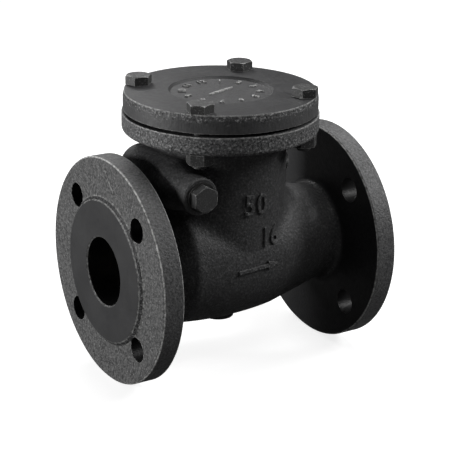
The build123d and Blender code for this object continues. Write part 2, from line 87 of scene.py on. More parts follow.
class Graph:
    """Shader nodes of one material, with short calls that add and join them.

    An edge is where a surface's normal and its rounded normal differ: their product is flat_alike or
    more on open surfaces and edge_alike or less on a full edge.
    """

    flat_alike: float = 0.97
    edge_alike: float = 0.72
    edge_samples: int = 8

    def __init__(self, name: str) -> None:
        """Start an empty material.

        Args:
            name: name of the material.
        """
        self.material = bpy.data.materials.new(name)
        self.material.use_nodes = True
        self.tree = self.material.node_tree
        self.tree.nodes.clear()
        self.place = self.node("ShaderNodeTexCoord").outputs["Object"]
        parts = self.node("ShaderNodeSeparateXYZ", {0: self.place})
        self.along = {axis: parts.outputs[axis.value] for axis in Axis}

    def node(self, kind: str, inputs: dict | None = None, **settings: object) -> bpy.types.Node:
        """Add a node and set or join its inputs.

        Args:
            kind: class name of the node.
            inputs: values or sockets by input name or number.
            **settings: properties of the node.

        Returns:
            The new node.
        """
        made = self.tree.nodes.new(kind)
        for name, value in settings.items():
            setattr(made, name, value)
        for name, value in (inputs or {}).items():
            if isinstance(value, Socket):
                self.tree.links.new(value, made.inputs[name])
            else:
                made.inputs[name].default_value = value
        return made

    def math(self, operation: str, first: object, second: object = 0.0) -> Socket:
        """Return the result of one sum on two values or sockets."""
        return self.node("ShaderNodeMath", {0: first, 1: second}, operation=operation).outputs[0]

    def times(self, first: object, second: object) -> Socket:
        """Return the product of two values or sockets."""
        return self.math("MULTIPLY", first, second)

    def strongest(self, *masks: object) -> Socket:
        """Return the largest of some masks.

        Args:
            *masks: values or sockets.

        Returns:
            Socket with the largest at each point.
        """
        largest = masks[0]
        for mask in masks[1:]:
            largest = self.math("MAXIMUM", largest, mask)
        return largest

    def ramp(self, value: object, low: float, high: float, start: float = 0.0, end: float = 1.0) -> Socket:
        """Return value mapped from low..high to start..end, held at both ends."""
        inputs = {"Value": value, "From Min": low, "From Max": high, "To Min": start, "To Max": end}
        return self.node("ShaderNodeMapRange", inputs).outputs["Result"]

    def between(self, value: object, low: float, high: float, soft: float) -> Socket:
        """Return 1 where value lies from low to high, falling to 0 over soft."""
        rise = self.ramp(value, low - soft, low)
        return self.times(rise, self.ramp(value, high, high + soft, 1.0, 0.0))

    def blend(self, amount: object, first: object, second: object) -> Socket:
        """Return a colour part way from first to second."""
        return self.node("ShaderNodeMix", {0: amount, 6: first, 7: second}, data_type="RGBA").outputs[2]

    def radius(self, axis: Axis, middle: tuple[float, float] = (0.0, 0.0)) -> Socket:
        """Return the distance from a line.

        Args:
            axis: direction of the line.
            middle: where the line crosses the other two axes, in metres.

        Returns:
            Socket with the distance in metres.
        """
        others = [other for other in Axis if other is not axis]
        squares = []
        for other, centre in zip(others, middle):
            offset = self.math("SUBTRACT", self.along[other], centre)
            squares.append(self.times(offset, offset))
        return self.math("SQRT", self.math("ADD", *squares))

    def noise(self, size: float, detail: float = 2.0, roughness: float = 0.5) -> Socket:
        """Return noise whose lumps are about size metres across."""
        inputs = {"Vector": self.place, "Scale": 1 / size, "Detail": detail, "Roughness": roughness}
        return self.node("ShaderNodeTexNoise", inputs).outputs["Fac"]

    def streaks(self, size: float, long: float) -> Socket:
        """Return noise that is drawn out along Z.

        Args:
            size: width of its lumps, in metres.
            long: their height, as a multiple of their width.

        Returns:
            Socket with the noise.
        """
        squeeze = (1.0, 1.0, 1.0 / long)
        drawn = self.node("ShaderNodeVectorMath", {0: self.place, 1: squeeze}, operation="MULTIPLY")
        inputs = {"Vector": drawn.outputs["Vector"], "Scale": 1 / size, "Detail": 2.0}
        return self.node("ShaderNodeTexNoise", inputs).outputs["Fac"]

    def edges(self, width: float) -> Socket:
        """Return 1 along sharp edges and 0 on open surfaces.

        Args:
            width: how far from an edge it reaches, in metres.

        Returns:
            Socket with the mask.
        """
        rounded = self.node("ShaderNodeBevel", {"Radius": width}, samples=self.edge_samples).outputs["Normal"]
        plain = self.node("ShaderNodeNewGeometry").outputs["Normal"]
        alike = self.node("ShaderNodeVectorMath", {0: rounded, 1: plain}, operation="DOT_PRODUCT")
        return self.ramp(alike.outputs["Value"], self.flat_alike, self.edge_alike)

    def surface(self, inputs: dict, height: object, depth: float) -> Material:
        """Finish the material with a principled shader and a bump.

        Args:
            inputs: values or sockets of the principled shader.
            height: socket with the bump's height, from 0 to 1.
            depth: height in metres of a full step.

        Returns:
            The finished material.
        """
        bump = self.node("ShaderNodeBump", {"Height": height, "Distance": depth, "Strength": 1.0})
        shader = self.node("ShaderNodeBsdfPrincipled", {**inputs, "Normal": bump.outputs["Normal"]})
        self.node("ShaderNodeOutputMaterial", {"Surface": shader.outputs["BSDF"]})
        return self.material


@dataclass(frozen=True)
class PaintedIron:
    """Black paint over sand cast iron, smooth on turned faces and grainy on cast ones."""

    paint: Colour = (0.020, 0.020, 0.021, 1.0)
    thin_paint: Colour = (0.095, 0.095, 0.096, 1.0)
    # Light grey of the painted glints on the grain's peaks.
    speck: Colour = (0.34, 0.34, 0.34, 1.0)
    # Light grey of rubbed edges, also a painted highlight where edges catch the light.
    worn: Colour = (0.55, 0.55, 0.54, 1.0)
    # Near black of the grain's pits, and of the painted shade in bores and bolt holes.
    deep_paint: Colour = (0.004, 0.004, 0.004, 1.0)
    grain: float = 1.6 * MM
    grain_deep: float = 0.75 * MM
    smooth_roughness: float = 0.46
    cast_roughness: float = 0.54
    gloss: float = 0.34
    lump: float = 4.2 * MM
    cloud: float = 24 * MM
    wear_patch: float = 2.4 * MM
    edge_width: float = 0.7 * MM
    peak_levels: tuple[float, float] = (0.54, 0.70)
    pit_levels: tuple[float, float] = (0.38, 0.47)
    patch_levels: tuple[float, float] = (0.38, 0.62)
    cloud_levels: tuple[float, float] = (0.35, 0.65)
    lump_levels: tuple[float, float] = (0.3, 0.7)
    patch_least: float = 0.2
    pit_dark: float = 0.75
    cloud_spread: float = 0.06
    roughness_spread: float = 0.05
    turned_grain: float = 0.06
    turned_lumps: float = 0.02
    cast_lumps: float = 0.7

    def material(self, graph: Graph, cast: object, specks: object, thin: object, rubbed_and_highlit: object = 0.0,
                 bore_shade: object = 0.0, relief: object = 0.0) -> Material:
        """Dress a surface.

        Args:
            graph: shader nodes of the new material.
            cast: how grainy the surface is, from 0 turned to 1 rough cast.
            specks: how many light specks it shows, painted glints on the grain's peaks, from 0 to 1.
            thin: how thin and grey its paint is, from 0 to 1.
            rubbed_and_highlit: how far handling has rubbed the paint off, and where a painted highlight
                lightens edges and raised marks, from 0 to 1.
            bore_shade: how far the surface lies in a bore or hole, where painted shade takes the colour to
                near black, from 0 to 1.
            relief: height of cast lumps or flaws, as a share of the grain's depth.

        Returns:
            The finished material.
        """
        grain = graph.noise(self.grain, 3.0, 0.62)
        lumps = graph.noise(self.lump, 2.0)
        cloud = graph.ramp(graph.noise(self.cloud, 3.0), *self.cloud_levels,
                           -self.cloud_spread, self.cloud_spread)
        patchy = graph.ramp(graph.noise(self.wear_patch, 3.0), *self.patch_levels, self.patch_least, 1.0)
        # Edges and rubbed places go light grey: paint wear, partly painted highlight.
        worn = graph.times(graph.strongest(graph.edges(self.edge_width), rubbed_and_highlit), patchy)
        # Painted glints: light specks on the grain's peaks.
        glint_peaks = graph.times(graph.ramp(grain, *self.peak_levels), specks)
        pits = graph.times(graph.ramp(grain, *self.pit_levels, self.pit_dark, 0.0), cast)
        thinned = graph.ramp(graph.math("ADD", thin, cloud), 0.0, 1.0)
        colour = graph.blend(thinned, self.paint, self.thin_paint)
        colour = graph.blend(pits, colour, self.deep_paint)
        colour = graph.blend(glint_peaks, colour, self.speck)
        colour = graph.blend(worn, colour, self.worn)
        # Painted shade: bores and bolt holes go near black.
        colour = graph.blend(bore_shade, colour, self.deep_paint)
        uneven = graph.ramp(lumps, *self.lump_levels, -self.roughness_spread, self.roughness_spread)
        rough = graph.ramp(cast, 0.0, 1.0, self.smooth_roughness, self.cast_roughness)
        rough = graph.math("ADD", rough, uneven)
        grainy = graph.times(graph.math("SUBTRACT", grain, 0.5),
                             graph.ramp(cast, 0.0, 1.0, self.turned_grain, 1.0))
        lumpy = graph.times(graph.math("SUBTRACT", lumps, 0.5),
                            graph.ramp(cast, 0.0, 1.0, self.turned_lumps, self.cast_lumps))
        inputs = {"Base Color": colour, "Roughness": rough, "Specular IOR Level": self.gloss}
        height = graph.math("ADD", graph.math("ADD", grainy, lumpy), relief)
        return graph.surface(inputs, height, self.grain_deep)


@dataclass(frozen=True)
class Zone:
    """How a zone of a casting looks: its grain, its light specks of painted glint and how thin its paint is,
    each from 0.
    """

    cast: float = 0.0
    specks: float = 0.0
    thin: float = 0.0


@dataclass(frozen=True)
class TurnedMetal:
    """Bare metal with fine lathe marks, such as bronze or stainless steel."""

    name: str
    colour: Colour
    tarnish: Colour
    roughness: float = 0.3
    axis: Axis = Axis.X
    middle: tuple[float, float] = (0.0, 0.0)
    pitch: float = 0.25 * MM
    mark_deep: float = 0.012 * MM
    stain: float = 5 * MM
    stain_levels: tuple[float, float] = (0.42, 0.68)
    edge_width: float = 0.3 * MM
    tarnished_rougher: float = 0.18
    mark_rougher: float = 0.04

    def material(self) -> Material:
        """Make the metal, with its lathe marks round its axis.

        Returns:
            The metal's material.
        """
        graph = Graph(self.name)
        rings = graph.math("SINE", graph.times(graph.radius(self.axis, self.middle), math.tau / self.pitch))
        marks = graph.ramp(rings, -1.0, 1.0)
        tarnish = graph.ramp(graph.noise(self.stain, 4.0, 0.6), *self.stain_levels)
        colour = graph.blend(tarnish, self.colour, self.tarnish)
        colour = graph.blend(graph.edges(self.edge_width), colour, self.colour)
        dull = self.roughness + self.tarnished_rougher
        rough = graph.math("ADD", graph.ramp(tarnish, 0.0, 1.0, self.roughness, dull),
                           graph.ramp(marks, 0.0, 1.0, -self.mark_rougher, self.mark_rougher))
        inputs = {"Base Color": colour, "Roughness": rough, "Metallic": 1.0}
        return graph.surface(inputs, marks, self.mark_deep)


@dataclass(frozen=True)
class Rubber:
    """Matt black rubber or fibre sheet."""

    name: str
    colour: Colour = (0.012, 0.012, 0.012, 1.0)
    dust: Colour = (0.035, 0.034, 0.033, 1.0)
    grain: float = 0.4 * MM
    grain_deep: float = 0.03 * MM
    cloud: float = 6 * MM
    dust_levels: tuple[float, float] = (0.4, 0.7)
    roughness: tuple[float, float] = (0.62, 0.8)
    gloss: float = 0.3

    def material(self) -> Material:
        """Make the rubber, with its dust in soft clouds.

        Returns:
            The rubber's material.
        """
        graph = Graph(self.name)
        fine = graph.noise(self.grain, 2.0)
        dusty = graph.ramp(graph.noise(self.cloud, 3.0), *self.dust_levels)
        colour = graph.blend(dusty, self.colour, self.dust)
        rough = graph.ramp(fine, 0.3, 0.7, *self.roughness)
        inputs = {"Base Color": colour, "Roughness": rough, "Specular IOR Level": self.gloss}
        return graph.surface(inputs, fine, self.grain_deep)


def dress(node: Piece, material: Material) -> None:
    """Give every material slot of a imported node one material."""
    for slot in node.material_slots:
        slot.material = material


def deselect() -> None:
    """Leave nothing selected."""
    bpy.ops.object.select_all(action="DESELECT")


def select_only(piece: Piece) -> None:
    """Leave one piece selected, as the active one.

    Args:
        piece: object to select.
    """
    deselect()
    piece.select_set(True)
    bpy.context.view_layer.objects.active = piece


def settle(piece: Piece) -> None:
    """Move a piece's place into its mesh, so that its object sits at the origin."""
    select_only(piece)
    bpy.ops.object.transform_apply(location=True, rotation=True, scale=True)


def apply_modifier(piece: Piece, kind: str, **settings: object) -> None:
    """Add a modifier to a piece and apply it.

    Args:
        piece: mesh that it changes.
        kind: type of the modifier.
        **settings: its properties.
    """
    select_only(piece)
    made = piece.modifiers.new(kind.title(), kind)
    for name, value in settings.items():
        setattr(made, name, value)
    bpy.ops.object.modifier_apply(modifier=made.name)


def join(pieces: list[Piece], name: str) -> Piece:
    """Join pieces into one.

    Args:
        pieces: meshes to join.
        name: name of the result.

    Returns:
        The joined piece.
    """
    deselect()
    for piece in pieces:
        piece.select_set(True)
    bpy.context.view_layer.objects.active = pieces[0]
    if len(pieces) > 1:
        bpy.ops.object.join()
    pieces[0].name = name
    pieces[0].data.name = name
    return pieces[0]


def finish_piece(piece: Piece, body: Body, material: Material) -> None:
    """Give a new piece its material and the body that it rides on.

    Args:
        piece: finished mesh.
        body: body that it rides on.
        material: its only material.
    """
    piece.data.materials.clear()
    piece.data.materials.append(material)
    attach(piece, body.value)
    log.info("%s: %d faces on %s", piece.name, len(piece.data.polygons), body.value)


@dataclass(frozen=True)
class Numeral:
    """A raised number: its characters, height, width against the plain type and extra stroke on each side."""

    text: str
    high: float
    narrow: float = 0.86
    bold: float = 0.45 * MM
    size_over_height: float = 1.38
    spacing: float = 1.12

    def outline(self) -> Piece:
        """Make the number as a flat mesh on the ground.

        Returns:
            The mesh, its middle at the origin.
        """
        deselect()
        bpy.ops.object.text_add()
        made = bpy.context.object
        made.data.body = self.text
        made.data.align_x = "CENTER"
        made.data.align_y = "CENTER"
        made.data.size = self.high * self.size_over_height
        made.data.offset = self.bold
        made.data.space_character = self.spacing
        made.data.fill_mode = "FRONT"
        bpy.ops.object.convert(target="MESH")
        made = bpy.context.object
        made.scale = (self.narrow, 1.0, 1.0)
        settle(made)
        return made


def divide(piece: Piece, step: float) -> None:
    """Cut a flat mesh on the ground across its height, so that it can follow a curved surface.

    Args:
        piece: flat mesh in the XY plane.
        step: distance between cuts, in metres.
    """
    select_only(piece)
    low = min(corner.co.y for corner in piece.data.vertices)
    high = max(corner.co.y for corner in piece.data.vertices)
    bpy.ops.object.mode_set(mode="EDIT")
    cuts = int((high - low) / step)
    for number in range(1, cuts + 1):
        cut_y = low + number * (high - low) / (cuts + 1)
        bpy.ops.mesh.select_all(action="SELECT")
        bpy.ops.mesh.bisect(plane_co=(0.0, cut_y, 0.0), plane_no=(0.0, 1.0, 0.0))
    bpy.ops.mesh.select_all(action="SELECT")
    bpy.ops.mesh.remove_doubles(threshold=0.02 * MM)
    bpy.ops.object.mode_set(mode="OBJECT")


def raise_on_surface(piece: Piece, ground: Piece, axis: Axis, proud: float,
                     grain: float) -> None:
    """Lay a flat mesh on a surface and give it a rounded, cast thickness.

    Args:
        piece: flat mesh that stands off the surface, its faces turned away from it.
        ground: object that it is laid on.
        axis: axis along which it is laid, Y forwards or Z downwards.
        proud: how far it stands out of the surface.
        grain: size of the voxels that round it.
    """
    forwards = axis is Axis.Y
    apply_modifier(piece, "SHRINKWRAP", target=ground, wrap_method="PROJECT", use_project_x=False,
                   use_project_y=forwards, use_project_z=not forwards, use_positive_direction=forwards,
                   use_negative_direction=not forwards)
    sink = 0.5 * MM
    apply_modifier(piece, "SOLIDIFY", thickness=proud + sink, offset=proud / (proud + sink) * 2 - 1,
                   use_even_offset=True)
    apply_modifier(piece, "REMESH", mode="VOXEL", voxel_size=grain)
    apply_modifier(piece, "SMOOTH", factor=0.5, iterations=3)
    select_only(piece)
    bpy.ops.object.shade_smooth()


@dataclass
class BodyCasting:
    """Body casting: its finish, raised numbers and flow arrow."""

    node: Piece
    neck_x: float = 96.5 * MM
    length: float = 200.0 * MM
    rim_r: float = 81.2 * MM
    raised_face_high: float = 3.0 * MM
    flange_face: tuple[float, float] = (0.9 * MM, 4.0 * MM)
    flange_back: float = 19.5 * MM
    flange_corners: tuple[float, ...] = (3.3 * MM, 18.1 * MM)
    corner_wide: float = 0.6 * MM
    bonnet_low: float = 92.2 * MM
    bonnet_high: float = 105.6 * MM
    bonnet_rim_r: float = 70.2 * MM
    bore_r: float = 25.4 * MM
    hole_circle_r: float = 62.5 * MM
    hole_r: float = 9.35 * MM
    flaw: tuple[tuple[float, float], tuple[float, float]] = ((2.0 * MM, 74.0 * MM), (-10.8 * MM, 61.0 * MM))
    flaw_wander: float = 1.0 * MM
    flaw_half_wide: tuple[float, float] = (0.4 * MM, 2.2 * MM)
    flaw_rubbed: float = 0.4
    flaw_relief: float = 2.0
    # Edge lines painted light on the bonnet, inlet steps and bore mouth: paint wear, partly painted
    # highlight.
    bonnet_rubbed: float = 0.6
    inlet_steps: tuple[tuple[float, float], ...] = ((0.25 * MM, 0.8 * MM), (2.3 * MM, 2.9 * MM))
    inlet_steps_r: tuple[float, float] = (40 * MM, 45 * MM)
    face_rubbed: float = 0.42
    mouth_band: tuple[float, float] = (0.3 * MM, 1.2 * MM)
    mouth_r: tuple[float, float] = (30 * MM, 32 * MM)
    mouth_rubbed: float = 0.3
    sealing_zone: Zone = Zone(thin=0.16)
    face_zone: Zone = Zone(0.95, 0.5, 0.2)
    rim_zone: Zone = Zone(0.6, 0.3, 1.0)
    back_zone: Zone = Zone(0.25)
    bonnet_zone: Zone = Zone(1.0, 0.9, 1.0)
    open_zone: Zone = Zone(0.55, 0.22, 0.42)
    mark_zone: Zone = Zone(0.55, 0.5, 0.55)
    mark_proud: float = 1.5 * MM
    mark_start_y: float = -80 * MM
    mark_voxel: float = 0.3 * MM
    rows: tuple[tuple[Numeral, float, float], ...] = (
        (Numeral("50", 15.0 * MM), 96.8 * MM, 47.5 * MM),
        (Numeral("16", 15.0 * MM, 0.78, 0.35 * MM), 110.0 * MM, 21.5 * MM),
    )
    row_step: float = 1.2 * MM
    arrow_start: float = 82.5 * MM
    arrow_end: float = 116.0 * MM
    arrow_z: float = 0.3 * MM
    arrow_tilt: float = math.radians(3)
    arrow_shaft: float = 3.0 * MM
    arrow_head: float = 8.5 * MM
    arrow_head_widths: tuple[float, float] = (2.3, 0.12)
    arrow_step: float = 1.5 * MM
    finish: PaintedIron = field(default_factory=PaintedIron)

    def near_ends(self, graph: Graph, reach: float, soft: float) -> Socket:
        """Return 1 near both ends of the body and 0 between them.

        Args:
            graph: shader nodes of the casting's material.
            reach: how far in from each end it is 1, in metres.
            soft: distance over which it falls to 0.

        Returns:
            Socket with the mask.
        """
        x = graph.along[Axis.X]
        far = self.length - reach
        return graph.strongest(graph.ramp(x, reach, reach + soft, 1.0, 0.0), graph.ramp(x, far - soft, far))

    def bands_at_ends(self, graph: Graph, start: float, end: float, soft: float) -> Socket:
        """Return 1 in a band near each end of the body and 0 elsewhere.

        Args:
            graph: shader nodes of the casting's material.
            start: where the band starts, in metres in from the end.
            end: where it ends.
            soft: distance over which it falls to 0.

        Returns:
            Socket with the mask.
        """
        x = graph.along[Axis.X]
        far = graph.between(x, self.length - end, self.length - start, soft)
        return graph.strongest(graph.between(x, start, end, soft), far)

    def material(self) -> Material:
        """Dress the casting in zones, grainy where it is as cast.

        Returns:
            The casting's material.
        """
        graph = Graph("painted_body_iron")
        z = graph.along[Axis.Z]
        pipe_r = graph.radius(Axis.X)
        neck_r = graph.radius(Axis.Z, (self.neck_x, 0.0))
        sealing = self.near_ends(graph, 0.4 * MM, 0.4 * MM)
        face = self.bands_at_ends(graph, *self.flange_face, 0.2 * MM)
        in_flanges = self.near_ends(graph, self.flange_back, 1.0 * MM)
        rim = graph.times(graph.ramp(pipe_r, self.rim_r, self.rim_r + 0.5 * MM), in_flanges)
        back = graph.math("SUBTRACT", in_flanges, graph.strongest(rim, face))
        bonnet = graph.times(graph.between(z, self.bonnet_low - 1 * MM, self.bonnet_high, 0.3 * MM),
                             graph.ramp(neck_r, self.bonnet_rim_r - 3 * MM, self.bonnet_rim_r))
        open_body = graph.math("SUBTRACT", 1.0, graph.strongest(in_flanges, bonnet))
        zones = ((sealing, self.sealing_zone), (face, self.face_zone), (rim, self.rim_zone),
                 (back, self.back_zone), (bonnet, self.bonnet_zone), (open_body, self.open_zone))
        cast = graph.strongest(*[graph.times(mask, zone.cast) for mask, zone in zones])
        cast = graph.times(cast, graph.math("SUBTRACT", 1.0, sealing))
        specks = graph.strongest(*[graph.times(mask, zone.specks) for mask, zone in zones])
        thin = graph.strongest(*[graph.times(mask, zone.thin) for mask, zone in zones])
        flaw = self.cast_flaw(graph)
        rubbed_and_highlit = graph.strongest(self.rubbed_edges(graph, pipe_r, neck_r),
                                 graph.times(flaw, self.flaw_rubbed))
        return self.finish.material(graph, cast, specks, thin, rubbed_and_highlit, self.hollows(graph, in_flanges),
                                    graph.times(flaw, self.flaw_relief))

    def rubbed_edges(self, graph: Graph, pipe_r: Socket, neck_r: Socket) -> Socket:
        """Return how far the paint is rubbed off along the casting's edges, partly a painted highlight on
        those edges.

        Args:
            graph: shader nodes of the casting's material.
            pipe_r: distance from the pipe's axis.
            neck_r: distance from the neck's axis.

        Returns:
            Socket with the mask.
        """
        x = graph.along[Axis.X]
        z = graph.along[Axis.Z]
        corners = graph.strongest(*[
            self.bands_at_ends(graph, start, start + self.corner_wide, 0.2 * MM)
            for start in self.flange_corners
        ])
        corners = graph.times(corners, graph.ramp(pipe_r, self.rim_r, self.rim_r + 0.3 * MM))
        bonnet_top = graph.between(z, self.bonnet_high - 0.7 * MM, self.bonnet_high + 0.1 * MM, 0.2 * MM)
        bonnet = graph.times(bonnet_top, graph.ramp(neck_r, self.bonnet_rim_r, self.bonnet_rim_r + 0.3 * MM))
        steps = graph.strongest(*[graph.between(x, low, high, 0.15 * MM) for low, high in self.inlet_steps])
        face = graph.times(steps, graph.ramp(pipe_r, *self.inlet_steps_r))
        mouth = graph.times(graph.between(x, *self.mouth_band, 0.15 * MM),
                            graph.ramp(pipe_r, *self.mouth_r, 1.0, 0.0))
        return graph.strongest(corners, graph.times(bonnet, self.bonnet_rubbed),
                               graph.times(face, self.face_rubbed), graph.times(mouth, self.mouth_rubbed))

    def cast_flaw(self, graph: Graph) -> Socket:
        """Return 1 along a short cast ridge on the inlet flange, above the sealing face, and 0 elsewhere.

        Args:
            graph: shader nodes of the casting's material.

        Returns:
            Socket with the mask.
        """
        (start_y, start_z), (end_y, end_z) = self.flaw
        long = math.hypot(end_y - start_y, end_z - start_z)
        run_y, run_z = (end_y - start_y) / long, (end_z - start_z) / long
        off_y = graph.math("SUBTRACT", graph.along[Axis.Y], start_y)
        off_z = graph.math("SUBTRACT", graph.along[Axis.Z], start_z)
        run = graph.math("ADD", graph.times(off_y, run_y), graph.times(off_z, run_z))
        aside = graph.math("SUBTRACT", graph.times(off_y, run_z), graph.times(off_z, run_y))
        wander = graph.ramp(graph.noise(5 * MM, 2.0), 0.3, 0.7, -self.flaw_wander, self.flaw_wander)
        aside = graph.math("ABSOLUTE", graph.math("ADD", aside, wander))
        on_line = graph.times(graph.ramp(aside, *self.flaw_half_wide, 1.0, 0.0),
                              graph.between(run, 0.0, long, 1.5 * MM))
        face_x = self.flange_face[1]
        return graph.times(on_line, graph.ramp(graph.along[Axis.X], face_x, face_x + 1.0 * MM, 1.0, 0.0))

    def hollows(self, graph: Graph, in_flanges: Socket) -> Socket:
        """Return the painted shade inside the waterway and the flanges' bolt holes: 1 there and 0 elsewhere.

        Args:
            graph: shader nodes of the casting's material.
            in_flanges: 1 within the thickness of either flange.

        Returns:
            Socket with the mask.
        """
        x = graph.along[Axis.X]
        bore = graph.ramp(graph.radius(Axis.X), self.bore_r, self.bore_r + 0.5 * MM, 1.0, 0.0)
        waterway = graph.times(bore, graph.between(x, 1.6 * MM, self.length - 1.6 * MM, 0.6 * MM))
        aside = self.hole_circle_r * math.sin(math.radians(45))
        squares = []
        for axis in (Axis.Y, Axis.Z):
            offset = graph.math("SUBTRACT", graph.math("ABSOLUTE", graph.along[axis]), aside)
            squares.append(graph.times(offset, offset))
        hole_r = graph.math("SQRT", graph.math("ADD", *squares))
        holes = graph.times(graph.ramp(hole_r, self.hole_r, self.hole_r + 0.2 * MM, 1.0, 0.0), in_flanges)
        mouth = self.raised_face_high + 0.9 * MM
        deep = graph.between(x, mouth, self.length - mouth, 0.6 * MM)
        return graph.strongest(waterway, graph.times(holes, graph.times(deep, 0.8)))

    def numbers(self) -> list[Piece]:
        """Raise the numbers on the near side of the neck and barrel.

        Returns:
            One mesh for each number.
        """
        made = []
        for numeral, x, z in self.rows:
            piece = numeral.outline()
            divide(piece, self.row_step)
            piece.rotation_euler = (math.radians(90), 0.0, 0.0)
            piece.location = (x, self.mark_start_y, z)
            settle(piece)
            raise_on_surface(piece, self.node, Axis.Y, self.mark_proud, self.mark_voxel)
            made.append(piece)
        return made

    def arrow(self) -> Piece:
        """Raise the flow arrow under the numbers.

        Returns:
            The arrow's mesh.
        """
        head = self.arrow_head
        head_root, head_tip = self.arrow_head_widths
        deselect()
        bpy.ops.mesh.primitive_plane_add(size=1.0)
        piece = bpy.context.object
        run = self.arrow_end - self.arrow_start - head
        piece.scale = (run, self.arrow_shaft, 1.0)
        piece.location = (-head / 2, 0.0, 0.0)
        settle(piece)
        end_x = run / 2 - head / 2
        bpy.ops.object.mode_set(mode="EDIT")
        bpy.ops.mesh.select_all(action="DESELECT")
        bpy.ops.object.mode_set(mode="OBJECT")
        for corner in piece.data.vertices:
            corner.select = corner.co.x > end_x - 0.1 * MM
        for edge in piece.data.edges:
            edge.select = all(piece.data.vertices[number].select for number in edge.vertices)
        bpy.ops.object.mode_set(mode="EDIT")
        bpy.ops.mesh.select_mode(type="EDGE")
        bpy.ops.mesh.extrude_region_move(TRANSFORM_OT_translate={"value": (0.02 * MM, 0.0, 0.0)})
        bpy.ops.transform.resize(value=(1.0, head_root, 1.0), center_override=(end_x, 0.0, 0.0))
        bpy.ops.mesh.extrude_region_move(TRANSFORM_OT_translate={"value": (head, 0.0, 0.0)})
        bpy.ops.transform.resize(value=(1.0, head_tip, 1.0), center_override=(end_x + head, 0.0, 0.0))
        bpy.ops.object.mode_set(mode="OBJECT")
        divide(piece, self.arrow_step)
        piece.rotation_euler = (math.radians(90), -self.arrow_tilt, 0.0)
        piece.location = ((self.arrow_start + self.arrow_end) / 2, self.mark_start_y, self.arrow_z)
        settle(piece)
        raise_on_surface(piece, self.node, Axis.Y, self.mark_proud, self.mark_voxel)
        return piece

    def build(self) -> None:
        """Dress the casting and add its raised marks."""
        dress(self.node, self.material())
        marks = join([*self.numbers(), self.arrow()], "body_marks")
        # The raised marks are painted lighter than the casting: paint worn on their tops, partly painted
        # highlight.
        zone = self.mark_zone
        marks_highlight_paint = self.finish.material(Graph("marks_wear_and_highlight"), zone.cast, zone.specks, zone.thin)
        finish_piece(marks, Body.HOUSING, marks_highlight_paint)


